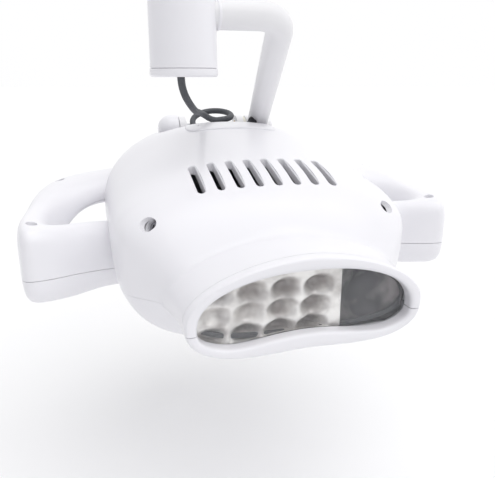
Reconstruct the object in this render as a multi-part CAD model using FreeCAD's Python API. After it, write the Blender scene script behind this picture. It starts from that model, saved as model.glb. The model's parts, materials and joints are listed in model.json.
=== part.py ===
import FreeCAD, Part
import math
import os

# Surgical light head on a bent neck that hangs from a swivel housing.
# Millimetres. Everything is drawn in the head's own axes: X to the right, Y towards the back,
# Z up, with X = 0 on the symmetry plane and Z = 0 on the parting line of the two shells.
# save() then moves each piece to the row frame, whose origin is the shoulder of the arm pin.

V = FreeCAD.Vector
X, Y, Z = V(1, 0, 0), V(0, 1, 0), V(0, 0, 1)

# ---- driving dimensions -------------------------------------------------------------------
WALL = 2.8                      # wall of the two head shells
SEAM_GAP = 0.1                  # each shell stops this far from the parting plane
# Head sections, front to back: y, half width, height of the widest line, top, bottom,
# and the superellipse exponents of the upper and the lower half.
HEAD = [
    (-112, 77.5, 8, 42, -18, 1.8, 3.0),
    (-95, 76, 8, 43, -19, 1.9, 2.8),
    (-80, 79, 12, 45, -22, 2.1, 2.4),
    (-66, 93, 22, 53, -33, 2.4, 2.3),
    (-50, 104.5, 30, 64, -40.5, 2.4, 2.8),
    (-30, 110.3, 33, 74, -43, 2.4, 3.1),
    (0, 111.8, 35, 83, -43.5, 2.3, 3.0),
    (50, 112, 37, 95, -43.5, 2.2, 2.8),
    (100, 110.5, 38, 103, -41, 2.2, 2.6),
    (130, 102, 37, 100, -36, 2.2, 2.4),
    (150, 86, 35, 88, -27, 2.2, 2.2),
    (162, 62, 32, 70, -12, 2.1, 2.1),
    (168, 38, 30, 52, 8, 2.0, 2.0),
]
SECTION_POINTS = 32

BEZEL_FRONT = -120.0            # front plane of the light window's frame
BEZEL_BACK = -112.3
BEZEL_RIM = 8.0
LENS_FRONT = -110.0
LENS_THICK = 3.0
LENS_INSET = 5.5                # the lens and its gasket are this much smaller than the muzzle

VENT_COUNT, VENT_PITCH, VENT_WIDTH = 8, 14.1, 5.2
VENT_BACK, VENT_FRONT = 0.0, -41.0

CUP_PITCH_X, CUP_PITCH_Z, CUP_Z = 22.0, 20.0, 12.5
CUP_COLUMNS, CUP_ROWS = 5, 2
CUP_MOUTH_R, CUP_THROAT_R = 9.8, 5.0
CUP_FRONT, CUP_BACK = -103.0, -87.0
OPTICS_INSET = 9.0

TILT_Y, TILT_Z = 134.0, 94.0    # tilt axis, parallel to X
AXLE_R, AXLE_BORE_R = 6.0, 3.2
RUNNING = 0.05                  # radial clearance of a turning fit
HUB_X = (30.0, 56.0)
HUB_R = 13.0
EAR_X = [(-36.5, -30.0), (20.5, 27.0)]
EAR_R = 13.0
CAP_X = (-56.0, -37.2)
CAP_R = 14.5
POCKET = (-60.0, 60.0, 98.0, 77.0)     # low x, high x, front y and floor z of the hinge pocket
COVER = (-38.0, 45.0, 72.0, 94.5)      # low x, high x, front y and back y of the hinge cover
COVER_LIFT = 1.6

TUBE_R, TUBE_BORE_R, TUBE_BEND_R = 10.0, 7.5, 21.0
COLLAR_LIP = 1.0
NECK_Y, NECK_Z = 2.0, 186.0     # neck axis where it enters the housing, parallel to X
NECK_CORNER_X = 22.5

HOUSING_X = -51.8               # vertical axis of the housing, at y = NECK_Y
HOUSING_R, HOUSING_WALL = 23.7, 2.7
HOUSING_BOTTOM, HOUSING_BAND, HOUSING_TOP = 143.5, 149.5, 236.0
SHOULDER = 241.8                # the arm rests here
PIN_R, PIN_LENGTH = 11.0, 35.0
JOURNAL_R = 12.0
WIRE_BORE_R = 5.0

CABLE_R = 2.75

# ---- helpers ------------------------------------------------------------------------------


def box(x0, x1, y0, y1, z0, z1):
    return Part.makeBox(x1 - x0, y1 - y0, z1 - z0, V(x0, y0, z0))


def rod(radius, start, end):
    return Part.makeCylinder(radius, (end - start).Length, start, end - start)


def ring(outer, inner, start, end):
    return rod(outer, start, end).cut(rod(inner, start, end))


def closed_spline(points):
    curve = Part.BSplineCurve()
    curve.interpolate(points, PeriodicFlag=True)
    return Part.Wire([curve.toShape()])


def prism(points, direction):
    return Part.Face(Part.makePolygon(points + points[:1])).extrude(direction)


def both_sides(shape):
    """The shape and its mirror image, left of the symmetry plane and right of it."""
    return [shape, shape.mirror(V(0, 0, 0), X)]


def on_tilt_axis(x):
    return V(x, TILT_Y, TILT_Z)


def on_neck_axis(x):
    return V(x, NECK_Y, NECK_Z)


def on_housing_axis(z):
    return V(HOUSING_X, NECK_Y, z)


# ---- head shells --------------------------------------------------------------------------


def section(y, half, middle, top, bottom, upper, lower):
    """One closed head section: an upper and a lower half of a superellipse."""
    points = []
    for i in range(SECTION_POINTS):
        t = 2 * math.pi * i / SECTION_POINTS
        c, s = math.cos(t), math.sin(t)
        power, reach = (upper, top - middle) if s >= 0 else (lower, middle - bottom)
        points.append(V(math.copysign(abs(c) ** (2 / power), c) * half, y,
                        middle + math.copysign(abs(s) ** (2 / power), s) * reach))
    return closed_spline(points)


def head_solid(inset=0.0):
    """The head's outer form, or the same form drawn in by inset all round."""
    wires = []
    for y, half, middle, top, bottom, upper, lower in HEAD:
        wires.append(section(y, half - inset, middle, top - inset, bottom + inset, upper, lower))
    if inset:
        front, back = HEAD[0], HEAD[-1]
        wires[0] = section(front[0] - 1, front[1] - inset, front[2], front[3] - inset,
                           front[4] + inset, front[5], front[6])
        wires[-1] = section(back[0] - inset, back[1] - inset, back[2], back[3] - inset,
                            back[4] + inset, back[5], back[6])
    return Part.makeLoft(wires, True)


def oval(y, grow, depth):
    """A slab of the window's outline, grown by grow, from y back to y + depth."""
    _, half, middle, top, bottom, upper, lower = HEAD[0]
    wire = section(y, half + grow, middle, top + grow, bottom - grow, upper, lower)
    return Part.Face(wire).extrude(V(0, depth, 0))


def hinge_pocket(grow=0.0):
    """The notch in the rear brow where the hinge sits, open to the back and the top."""
    low, high, front, floor = POCKET
    notch = box(low - grow, high + grow, front - grow, 200, floor - grow, 160)
    corners = [e for e in notch.Edges if abs(e.Vertexes[0].Y - (front - grow)) < 0.01
               and abs(e.Vertexes[1].Y - (front - grow)) < 0.01
               and abs(e.Vertexes[0].X - e.Vertexes[1].X) < 0.01]
    return notch.makeFillet(8 + grow, corners)


def ear_slots():
    slots = [box(x0 - 0.4, x1 + 0.4, 125, 143, 60, POCKET[3] + 1) for x0, x1 in EAR_X]
    return slots[0].fuse(slots[1])


def vent_slots():
    """Rounded slots through the brow, all running front to back."""
    cuts = []
    half = VENT_WIDTH / 2
    for i in range(VENT_COUNT):
        x = (i - (VENT_COUNT - 1) / 2) * VENT_PITCH
        straight = box(x - half, x + half, VENT_FRONT + half, VENT_BACK - half, 45, 100)
        ends = [rod(half, V(x, y, 45), V(x, y, 100)) for y in (VENT_FRONT + half, VENT_BACK - half)]
        cuts.append(straight.fuse(ends))
    return Part.makeCompound(cuts)


BODY_SCREW = (V(87, -50, 50), V(0.72, -0.42, 0.55))     # place on the brow and outward direction
BODY_SCREW_R, BODY_SCREW_SINK = 4.2, 6.5


def body_screw_places():
    place, out = BODY_SCREW
    return [(V(s * place.x, place.y, place.z), V(s * out.x, out.y, out.z).normalize())
            for s in (-1, 1)]


def upper_shell(outer, hollow):
    shell = outer.cut(hollow).common(box(-200, 200, -200, 200, SEAM_GAP, 200))
    for place, out in body_screw_places():
        post = rod(BODY_SCREW_R + 2, place - out * 13, place + out * 3).common(outer)
        shell = shell.fuse(post)
    for place, out in body_screw_places():
        shell = shell.cut(rod(BODY_SCREW_R, place - out * BODY_SCREW_SINK, place + out * 6))
        shell = shell.cut(rod(1.6, place - out * 20, place))
    return shell.cut(vent_slots()).cut(ear_slots())


STANDOFFS = [(-40, -30), (40, -30), (-40, 100), (40, 100)]
CHASSIS_Z = (-12.0, -9.5)
SENSOR = V(0, -92, -20)
SENSOR_R = 7.0
SENSOR_FLANGE = (4.4, 5.6)      # the window's flange lies between these heights over SENSOR


def lower_shell(outer, hollow):
    shell = outer.cut(hollow).common(box(-200, 200, -200, 200, -200, -SEAM_GAP))
    for x, y in STANDOFFS:
        post = rod(5, V(x, y, -60), V(x, y, CHASSIS_Z[0])).common(outer)
        shell = shell.fuse(post).cut(rod(1.6, V(x, y, -28), V(x, y, 0)))
    return shell.cut(rod(SENSOR_R + 0.1, SENSOR - Z * 10, SENSOR + Z * 10))


def hinge_cover(outer):
    """A low pad on the brow in front of the pocket, which closes the way to the hinge bolts."""
    low, high, front, back = COVER
    pad = box(low, high, front, back, 60, 140)
    uprights = [e for e in pad.Edges if abs(e.Vertexes[0].Z - e.Vertexes[1].Z) > 1
                and e.Vertexes[0].Y < 80]
    lifted = outer.copy()
    lifted.translate(V(0, 0, COVER_LIFT))
    return pad.makeFillet(9, uprights).common(lifted).cut(outer)


# ---- light window and optics --------------------------------------------------------------


def front_bezel():
    """The window's frame: a rim in front and a tongue that fits inside the muzzle."""
    rim = oval(BEZEL_FRONT, -1.2, 1.5).fuse(oval(BEZEL_FRONT + 1.5, 0, BEZEL_BACK - BEZEL_FRONT - 1.5))
    tongue = oval(BEZEL_BACK, -WALL - 1.2, 8)
    frame = rim.fuse(tongue)
    frame = frame.cut(oval(BEZEL_FRONT - 1, -BEZEL_RIM, 20))
    return frame.cut(oval(LENS_FRONT, -LENS_INSET + 0.2, 20))


def lens_cover():
    return oval(LENS_FRONT, -LENS_INSET, LENS_THICK)


def lens_gasket():
    y = LENS_FRONT + LENS_THICK
    return oval(y, -LENS_INSET, 2).cut(oval(y - 1, -LENS_INSET - 3, 4))


def cup_centres():
    for row in range(CUP_ROWS):
        for column in range(CUP_COLUMNS):
            yield ((column - (CUP_COLUMNS - 1) / 2) * CUP_PITCH_X,
                   CUP_Z + (row - (CUP_ROWS - 1) / 2) * CUP_PITCH_Z)


def reflector_array():
    """One moulded block of conical cups, mirror-coated."""
    block = oval(CUP_FRONT, -OPTICS_INSET, CUP_BACK - CUP_FRONT)
    for x, z in cup_centres():
        cup = Part.makeCone(CUP_MOUTH_R, CUP_THROAT_R, CUP_BACK - CUP_FRONT, V(x, CUP_FRONT, z), Y)
        block = block.cut(cup)
    return block


def led_board():
    return oval(CUP_BACK + 0.1, -OPTICS_INSET, 1.6)


def led_emitters():
    chips = []
    for x, z in cup_centres():
        base = box(x - 2.6, x + 2.6, CUP_BACK - 0.9, CUP_BACK + 0.1, z - 2.6, z + 2.6)
        dome = Part.makeSphere(1.9, V(x, CUP_BACK - 0.9, z), -Y)
        chips.append(base.fuse(dome.common(box(x - 3, x + 3, CUP_BACK - 5, CUP_BACK - 0.9, z - 3, z + 3))))
    return Part.makeCompound(chips)


def heat_sink():
    back = CUP_BACK + 1.7
    low, high = CHASSIS_Z[1], 32
    half, fins = 48, 17
    sink = box(-half, half, back, back + 5, low, high)
    for i in range(fins):
        x = (half - 2) * (2 * i / (fins - 1) - 1)
        sink = sink.fuse(box(x - 1, x + 1, back + 4, back + 30, low, high))
    return sink


# ---- chassis and electronics --------------------------------------------------------------


def chassis_plate():
    plate = box(-48, 48, -80, 140, *CHASSIS_Z)
    for x, y in STANDOFFS:
        plate = plate.cut(rod(1.9, V(x, y, -20), V(x, y, 0)))
    return plate.cut(rod(9, V(0, 95, -20), V(0, 95, 0)))


def pan_screw(head, shank, length, head_high, place, out):
    """A pan-head screw with a cross-shaped recess; place is under the head, out is the head's way."""
    body = rod(head, place, place + out * head_high).fuse(rod(shank, place - out * length, place))
    side = out.cross(X) if abs(out.x) < 0.9 else out.cross(Y)
    side.normalize()
    other = out.cross(side)
    slot = Part.makeBox(head * 1.1, head * 0.28, head_high)
    slot.translate(V(-head * 0.55, -head * 0.14, 0))
    cross = slot.fuse(slot.copy().rotate(V(0, 0, 0), Z, 90))
    turn = FreeCAD.Matrix(side.x, other.x, out.x, 0, side.y, other.y, out.y, 0,
                          side.z, other.z, out.z, 0, 0, 0, 0, 1)
    cross = cross.transformGeometry(turn)
    cross.translate(place + out * head_high * 0.5)
    return body.cut(cross)


def chassis_screws():
    return Part.makeCompound([pan_screw(3.5, 1.5, 12, 2.2, V(x, y, CHASSIS_Z[1]), Z)
                              for x, y in STANDOFFS])


BOARD = (-42, 42, 0, 78, 12.0, 13.6)
BOARD_POSTS = [(-37, 5), (37, 5), (-37, 73), (37, 73)]


def driver_board():
    board = box(*BOARD)
    for x, y in BOARD_POSTS:
        board = board.cut(rod(1.7, V(x, y, 0), V(x, y, 20)))
    return board


def board_spacers():
    return Part.makeCompound([ring(3.2, 1.5, V(x, y, CHASSIS_Z[1]), V(x, y, BOARD[4]))
                              for x, y in BOARD_POSTS])


def driver_components():
    top = BOARD[5]
    parts = [box(-26, 2, 16, 44, top, top + 22), box(12, 28, 14, 36, top, top + 9)]
    for x, y, high in ((14, 48, 20), (27, 48, 20), (-18, 58, 15), (-4, 58, 15)):
        parts.append(rod(5.5, V(x, y, top), V(x, y, top + high)))
    return Part.makeCompound(parts)


def sensor_window():
    low, high = SENSOR_FLANGE
    lens = rod(SENSOR_R, SENSOR - Z * 2.2, SENSOR + Z * high)
    return lens.fuse(rod(SENSOR_R + 1.6, SENSOR + Z * low, SENSOR + Z * high))


def sensor_board():
    z = SENSOR.z + SENSOR_FLANGE[1]
    board = box(-11, 11, SENSOR.y - 9, SENSOR.y + 9, z, z + 1.4)
    return board.fuse(box(-3, 3, SENSOR.y - 3, SENSOR.y + 3, z + 1.4, z + 4))


# ---- grab handles -------------------------------------------------------------------------

# Plan of the right handle. Both outlines run on into the head, and the head's form cuts them off.
GRIP_OUTER = [V(95, 13, 0), V(121, 10, 0), V(141, 1, 0), V(157, -8.5, 0), V(169, -11, 0),
              V(176.5, -3, 0), V(179, 16, 0), V(175.5, 50, 0), V(168, 82, 0), V(155, 107, 0),
              V(138, 119, 0), V(120, 123, 0), V(95, 124, 0)]
GRIP_INNER = [V(95, 42, 0), V(118, 39, 0), V(135, 33, 0), V(148, 26, 0), V(153, 33, 0),
              V(149, 48, 0), V(140, 61, 0), V(127, 72, 0), V(112, 78, 0), V(95, 80, 0)]
# Side views of the grip. Its top is a ruled surface between the curve at the head and the curve
# at the grip's outer edge, and its underside climbs to the back.
GRIP_EDGE_X = (95.0, 180.0)
GRIP_TOP_HEAD = [V(0, -20, 25), V(0, 10, 27), V(0, 45, 38), V(0, 80, 60), V(0, 130, 66)]
GRIP_TOP_EDGE = [V(0, -20, 41), V(0, 10, 43), V(0, 45, 48), V(0, 80, 53), V(0, 130, 58)]
GRIP_BOTTOM = [V(0, -20, -14), V(0, 0, -17.5), V(0, 15, -19), V(0, 36, -9), V(0, 60, 18), V(0, 85, 33), V(0, 130, 38)]
GRIP_SEAM = [V(0, -30, 5.5), V(0, -10, 3.5), V(0, 15, 0), V(0, 40, 8), V(0, 65, 33), V(0, 90, 45), V(0, 140, 49)]
GRIP_WALL, GRIP_ROUNDING = 2.6, 7.0
GRIP_SCREWS = [V(149, 96, 56.5), V(166, 8, 40.5)]
GRIP_SCREW_R, GRIP_SCREW_SINK = 3.9, 6.0
SHANK_R = 1.5


def spline(points):
    curve = Part.BSplineCurve()
    curve.interpolate(points)
    return curve


def inset_spline(points, inset):
    """The spline through the points, each moved to the left of the curve's way by inset."""
    curve = spline(points)
    moved = []
    for point in points:
        way = curve.tangent(curve.parameter(point))[0]
        moved.append(point + Z.cross(way).normalize() * inset)
    return spline(moved)


def grip_plan(points, inset):
    """The upright prism inside an outline that is closed straight across inside the head."""
    curve = inset_spline(points, inset)
    ends = curve.value(curve.FirstParameter), curve.value(curve.LastParameter)
    wire = Part.Wire([curve.toShape(), Part.makeLine(ends[1], ends[0])])
    return Part.Face(wire).extrude(V(0, 0, 130)).translate(V(0, 0, -40))


def grip_side(x, inset):
    """The closed side view of the grip at x, between its underside and its top."""
    share = (x - GRIP_EDGE_X[0]) / (GRIP_EDGE_X[1] - GRIP_EDGE_X[0])
    top = [a + (b - a) * share + V(x, 0, -inset) for a, b in zip(GRIP_TOP_HEAD, GRIP_TOP_EDGE)]
    bottom = [p + V(x, 0, inset) for p in GRIP_BOTTOM]
    return Part.Wire([spline(bottom).toShape(), Part.makeLine(bottom[-1], top[-1]),
                      spline(top[::-1]).toShape(), Part.makeLine(top[0], bottom[0])])


def grip_solid(inset):
    bar = grip_plan(GRIP_OUTER, inset).cut(grip_plan(GRIP_INNER, -inset))
    return bar.common(Part.makeLoft([grip_side(80, inset), grip_side(190, inset)], True, True))


def softened(bar, radius):
    """The grip with its long top and bottom edges rounded."""
    edges = [e for e in bar.Edges if e.Length > 60 and e.BoundBox.XLength > 30]
    return bar.makeFillet(radius, edges)


def below_seam():
    """The space under the seam's curve, right across the grip."""
    first, last = GRIP_SEAM[0], GRIP_SEAM[-1]
    corners = [last, V(0, last.y, -120), V(0, first.y, -120), first]
    wire = Part.Wire([spline(GRIP_SEAM).toShape()] + Part.makePolygon(corners).Edges)
    return Part.Face(wire).extrude(V(240, 0, 0))


def grip_halves():
    """The right handle's upper and lower mouldings, hollow, parted along the seam."""
    whole = softened(grip_solid(0), GRIP_ROUNDING)
    bar = whole.cut(grip_solid(GRIP_WALL))
    upper, lower = bar.cut(below_seam()), bar.common(below_seam())
    lower.translate(V(0, 0, -SEAM_GAP))
    for place in GRIP_SCREWS:
        post = rod(GRIP_SCREW_R + 1.8, place - Z * 14, place + Z * 3).common(whole)
        upper = upper.fuse(post.cut(below_seam()))
        upper = upper.cut(rod(GRIP_SCREW_R, place - Z * GRIP_SCREW_SINK, place + Z * 9))
        upper = upper.cut(rod(SHANK_R, place - Z * 14, place))
    return upper, lower


def grip_screws():
    """Four screws sunk in the tops of the handles."""
    screws = []
    for place in GRIP_SCREWS:
        screws += both_sides(pan_screw(3.6, SHANK_R, 5, 2.4, place - Z * GRIP_SCREW_SINK, Z))
    return Part.makeCompound(screws)


def body_screws():
    return Part.makeCompound([pan_screw(3.8, 1.5, 8, 2.6, place - out * BODY_SCREW_SINK, out)
                              for place, out in body_screw_places()])


# ---- tilt hinge ---------------------------------------------------------------------------


def hinge_bracket():
    """A steel channel on the chassis whose two ears carry the tilt axle."""
    low, high = EAR_X[0][0], EAR_X[1][1]
    bracket = box(low, high, 112, 140, CHASSIS_Z[1], CHASSIS_Z[1] + 3)
    for x0, x1 in EAR_X:
        leg = box(x0, x1, 112, 140, CHASSIS_Z[1], 68).fuse(box(x0, x1, 126, 142, 60, TILT_Z))
        ear = leg.fuse(rod(EAR_R, on_tilt_axis(x0), on_tilt_axis(x1)))
        bracket = bracket.fuse(ear)
    return bracket.cut(rod(8.0, on_tilt_axis(-60), on_tilt_axis(60)))


def bush(x0, x1):
    return ring(8.0, AXLE_R + RUNNING, on_tilt_axis(x0), on_tilt_axis(x1))


def neck_hub():
    """The knuckle at the foot of the neck. The axle is fixed in it."""
    hub = rod(HUB_R, on_tilt_axis(HUB_X[0]), on_tilt_axis(HUB_X[1]))
    hub = hub.makeFillet(1.5, [e for e in hub.Edges if e.Curve.TypeId == "Part::GeomCircle"])
    socket = rod(TUBE_R, neck_foot(), neck_foot() - neck_direction() * 60)
    return hub.cut(socket).cut(rod(AXLE_R, on_tilt_axis(0), on_tilt_axis(60)))


def tilt_axle():
    axle = ring(AXLE_R, AXLE_BORE_R, on_tilt_axis(-48), on_tilt_axis(HUB_X[1] - 2))
    return axle.cut(rod(3.0, on_tilt_axis(0), V(0, TILT_Y, TILT_Z - 10)))


def friction_washer():
    return ring(11.5, AXLE_R + 0.1, on_tilt_axis(27.3), on_tilt_axis(HUB_X[0]))


def disc_springs():
    """Two disc springs, back to back, that load the hinge's friction."""
    x = -36.9
    first = Part.makeCone(11, 9, 1.7, on_tilt_axis(x), -X)
    second = Part.makeCone(9, 11, 1.7, on_tilt_axis(x - 1.8), -X)
    bore = rod(AXLE_R + 0.1, on_tilt_axis(-45), on_tilt_axis(-30))
    return Part.makeCompound([first.cut(bore), second.cut(bore)])


def tension_nut():
    corners = [V(-40.6, TILT_Y + 10 * math.cos(a), TILT_Z + 10 * math.sin(a))
               for a in (math.radians(60 * i) for i in range(6))]
    return prism(corners, V(-5, 0, 0)).cut(rod(AXLE_R, on_tilt_axis(-50), on_tilt_axis(-30)))


def end_cap():
    """The domed cap over the nut, which turns with the axle."""
    low, high = CAP_X
    cap = rod(CAP_R, on_tilt_axis(low), on_tilt_axis(high))
    cap = cap.makeFillet(9, [e for e in cap.Edges if abs(e.CenterOfMass.x - low) < 0.01])
    cavity = rod(11.6, on_tilt_axis(low + 5.5), on_tilt_axis(high + 1))
    return cap.cut(cavity)


def hub_plug():
    """The plastic plug that closes the hub's outer end."""
    start = HUB_X[1] - 2
    face = ring(5.8, 3.4, on_tilt_axis(start), on_tilt_axis(HUB_X[1]))
    flange = rod(9.5, on_tilt_axis(HUB_X[1]), on_tilt_axis(HUB_X[1] + 1.6))
    return face.fuse(flange)


# ---- neck ---------------------------------------------------------------------------------


def neck_corner():
    return on_neck_axis(NECK_CORNER_X)


def neck_foot():
    return on_tilt_axis((HUB_X[0] + HUB_X[1]) / 2)


def neck_direction():
    return (neck_foot() - neck_corner()).normalize()


def bent_path(points, radii):
    """Straight runs through the points, with an arc of the given radius at each inner point."""
    edges, last = [], points[0]
    for before, corner, after, radius in zip(points, points[1:], points[2:], radii):
        into, away = (corner - before).normalize(), (after - corner).normalize()
        turn = into.getAngle(away)
        reach = radius * math.tan(turn / 2)
        start, end = corner - into * reach, corner + away * reach
        inward = (away - into).normalize()
        middle = corner + inward * (radius / math.cos(turn / 2) - radius)
        edges += [Part.LineSegment(last, start).toShape(), Part.Arc(start, middle, end).toShape()]
        last = end
    return Part.Wire(edges + [Part.LineSegment(last, points[-1]).toShape()])


def swept(path, radius, start, direction):
    return path.makePipeShell([Part.Wire([Part.makeCircle(radius, start, direction)])], True, False)


def neck_tube():
    start = on_neck_axis(HOUSING_X + 1.5)
    path = bent_path([start, neck_corner(), neck_foot()], [TUBE_BEND_R])
    tube = swept(path, TUBE_R, start, X).cut(swept(path, TUBE_BORE_R, start, X))
    groove = ring(TUBE_R + 1, TUBE_R - 0.9, on_neck_axis(HOUSING_X + 2.6), on_neck_axis(HOUSING_X + 4.1))
    inside_hub = rod(AXLE_R, on_tilt_axis(20), on_tilt_axis(60))
    return tube.cut(groove).cut(inside_hub).cut(rod(GROMMET_R, neck_entry(0), neck_entry(20)))


def neck_clip():
    return ring(TUBE_R + 2.3, TUBE_R - 0.85, on_neck_axis(HOUSING_X + 2.7), on_neck_axis(HOUSING_X + 4.0))


def neck_collar():
    """The thin ring that hides the gap where the neck enters the housing."""
    start = HOUSING_X + HOUSING_R + 0.4
    collar = ring(TUBE_R + COLLAR_LIP, TUBE_R, on_neck_axis(start), on_neck_axis(start + 2))
    rims = [e for e in collar.Edges if abs(e.CenterOfMass.x - start - 2) < 0.01 and e.Length > 66]
    return collar.makeFillet(0.6, rims)


# ---- power cable --------------------------------------------------------------------------

# From the housing's underside over the brow, once round in a loose loop in the hinge pocket, and
# into the side of the neck. The loop's near side lies low in the pocket and its far side stands
# over the axle, so it leans by LOOP_LEAN about X.
LOOP_CENTRE = V(-5, 124.5, 104)
LOOP_R, LOOP_LEAN = 19.0, math.radians(26)
LOOP_START, LOOP_TURN, LOOP_POINTS = -63.5, 329, 13     # degrees from +X, and points in the turn
LOOP_RISE = 15.7                # the turn's start is this far above its end, along the loop's axis
CABLE_START = V(-54.1, 3.1, 143.5)
CABLE_LEAD = [V(-54.2, 3, 149.5), V(-54, 3.1, 142.5), V(-53, 5.1, 136.3), V(-50.5, 8.9, 130.5),
              V(-47.3, 14.2, 126), V(-43.8, 21.2, 122.3), V(-39.7, 32.1, 119), V(-33.5, 54, 115.8),
              V(-27.5, 75, 114.3), V(-20.8, 93.2, 111.8), V(-8.9, 102, 104.7)]
LOOP_END = V(8.6, 105.6, 91.6)  # between the turn and the straight way into the neck
ENTRY_WAY = V(-0.75, -0.377, -0.541)    # out of the neck, square to it, where the cable goes in
GROMMET_R = 4.2


def neck_entry(out):
    """A point on the cable's way into the neck, out from the neck's centre line."""
    return V(39.6, 112, 109.33) + ENTRY_WAY * out


def loop_point(angle, rise):
    """A point of the loop, angle from +X towards its high far side."""
    across, up = math.cos(angle) * LOOP_R, math.sin(angle) * LOOP_R
    lean, tilt = math.cos(LOOP_LEAN), math.sin(LOOP_LEAN)
    return LOOP_CENTRE + V(across, up * lean - rise * tilt, up * tilt + rise * lean)


def cable_route():
    turn = []
    for i in range(LOOP_POINTS):
        share = i / (LOOP_POINTS - 1)
        turn.append(loop_point(math.radians(LOOP_START + share * LOOP_TURN), (0.5 - share) * LOOP_RISE))
    return CABLE_LEAD + turn + [LOOP_END, neck_entry(24), neck_entry(5)]


def corner_radius(before, corner, after):
    """The largest arc that the two runs beside a corner leave room for."""
    into, away = corner - before, after - corner
    return 0.45 * min(into.Length, away.Length) / math.tan(into.getAngle(away) / 2)


def power_cable():
    points = cable_route()
    radii = [corner_radius(*three) for three in zip(points, points[1:], points[2:])]
    path = bent_path(points, radii)
    cable = swept(path, CABLE_R, points[0], points[1] - points[0])
    print("cable radii", [round(r, 1) for r in radii], "length", round(path.Length, 1))
    print("cable volume over section times length",
          round(cable.Volume / (math.pi * CABLE_R ** 2 * path.Length), 4))
    return cable


def neck_grommet():
    """The tapered strain relief where the cable goes into the neck."""
    sleeve = rod(GROMMET_R, neck_entry(6.5), neck_entry(11))
    taper = Part.makeCone(GROMMET_R, CABLE_R + 0.7, 3.5, neck_entry(11), ENTRY_WAY)
    return sleeve.fuse(taper).cut(rod(CABLE_R, neck_entry(0), neck_entry(20)))


# ---- swivel housing -----------------------------------------------------------------------


def housing_shell():
    tube = ring(HOUSING_R, HOUSING_R - HOUSING_WALL, on_housing_axis(HOUSING_BAND),
                on_housing_axis(HOUSING_TOP))
    lid = rod(HOUSING_R, on_housing_axis(HOUSING_TOP - 4), on_housing_axis(HOUSING_TOP))
    shell = tube.fuse(lid)
    rim = [e for e in shell.Edges if abs(e.CenterOfMass.z - HOUSING_TOP) < 0.01 and e.Length > 140]
    shell = shell.makeFillet(2.5, rim)
    shell = shell.cut(rod(JOURNAL_R + 1.5, on_housing_axis(220), on_housing_axis(240)))
    return shell.cut(rod(TUBE_R + 0.6, on_neck_axis(HOUSING_X), on_neck_axis(0)))


def housing_base():
    """The cap under the housing, with the hole where the cable comes out."""
    band = rod(HOUSING_R + 0.3, on_housing_axis(HOUSING_BOTTOM), on_housing_axis(HOUSING_BAND))
    rim = [e for e in band.Edges if abs(e.CenterOfMass.z - HOUSING_BOTTOM) < 0.01]
    band = band.makeFillet(1.5, rim)
    spigot = rod(HOUSING_R - HOUSING_WALL - 0.1, on_housing_axis(HOUSING_BAND), on_housing_axis(HOUSING_BAND + 5))
    cap = band.fuse(spigot)
    cap = cap.cut(rod(HOUSING_R - HOUSING_WALL - 3, on_housing_axis(HOUSING_BOTTOM + 3), on_housing_axis(160)))
    cap = cap.cut(rod(GROMMET_R, CABLE_START - Z * 5, CABLE_START + Z * 10))
    for x, y in base_screw_places():
        cap = cap.fuse(rod(3.4, V(x, y, HOUSING_BOTTOM + 2), V(x, y, HOUSING_BAND + 5)))
        cap = cap.cut(rod(3.3, V(x, y, 140), V(x, y, HOUSING_BOTTOM + 2.4)))
        cap = cap.cut(rod(1.7, V(x, y, 140), V(x, y, 160)))
    return cap


def base_screw_places():
    return [(HOUSING_X + side * 14, NECK_Y) for side in (-1, 1)]


def base_screws():
    return Part.makeCompound([pan_screw(3.0, 1.5, 26, 1.9, V(x, y, HOUSING_BOTTOM + 2.4), -Z)
                              for x, y in base_screw_places()])


def base_grommet():
    sleeve = rod(GROMMET_R, CABLE_START, CABLE_START + Z * 4.5)
    lip = rod(GROMMET_R + 1.2, CABLE_START + Z * 3, CABLE_START + Z * 4.5)
    return sleeve.fuse(lip).cut(rod(CABLE_R + 0.4, CABLE_START - Z, CABLE_START + Z * 10))


def swivel_block():
    """The aluminium core of the housing: it carries the arm journal and the neck journal."""
    block = rod(HOUSING_R - HOUSING_WALL - 0.1, on_housing_axis(168), on_housing_axis(HOUSING_TOP - 4))
    block = block.cut(rod(14, on_housing_axis(207.5), on_housing_axis(240)))
    block = block.cut(rod(15.5, on_housing_axis(201), on_housing_axis(207.5)))
    block = block.cut(rod(12, on_neck_axis(HOUSING_X + 4.6), on_neck_axis(0)))
    block = block.cut(rod(13.5, on_neck_axis(HOUSING_X), on_neck_axis(HOUSING_X + 4.6)))
    block = block.cut(rod(4, V(HOUSING_X - 12, NECK_Y, 160), V(HOUSING_X - 12, NECK_Y, 203)))
    for x, y in base_screw_places():
        block = block.cut(rod(1.5, V(x, y, 160), V(x, y, 174)))
    return block


def neck_bush():
    return ring(12, TUBE_R + RUNNING, on_neck_axis(HOUSING_X + 4.8), on_neck_axis(HOUSING_X + 17))


def spigot_bush():
    return ring(14, JOURNAL_R + RUNNING, on_housing_axis(208), on_housing_axis(230))


def arm_spigot():
    """The steel spindle: its upper pin goes into the arm and its lower journal carries the light."""
    pin = rod(PIN_R, on_housing_axis(SHOULDER), on_housing_axis(SHOULDER + PIN_LENGTH))
    tip = [e for e in pin.Edges if abs(e.CenterOfMass.z - SHOULDER - PIN_LENGTH) < 0.01]
    pin = pin.makeChamfer(0.8, tip)
    flange = rod(20, on_housing_axis(SHOULDER - 5), on_housing_axis(SHOULDER))
    journal = rod(JOURNAL_R, on_housing_axis(203), on_housing_axis(SHOULDER - 5))
    spindle = pin.fuse(flange).fuse(journal)
    spindle = spindle.cut(ring(JOURNAL_R + 1, JOURNAL_R - 1, on_housing_axis(204.8), on_housing_axis(206.3)))
    return spindle.cut(rod(WIRE_BORE_R, on_housing_axis(190), on_housing_axis(290)))


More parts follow.
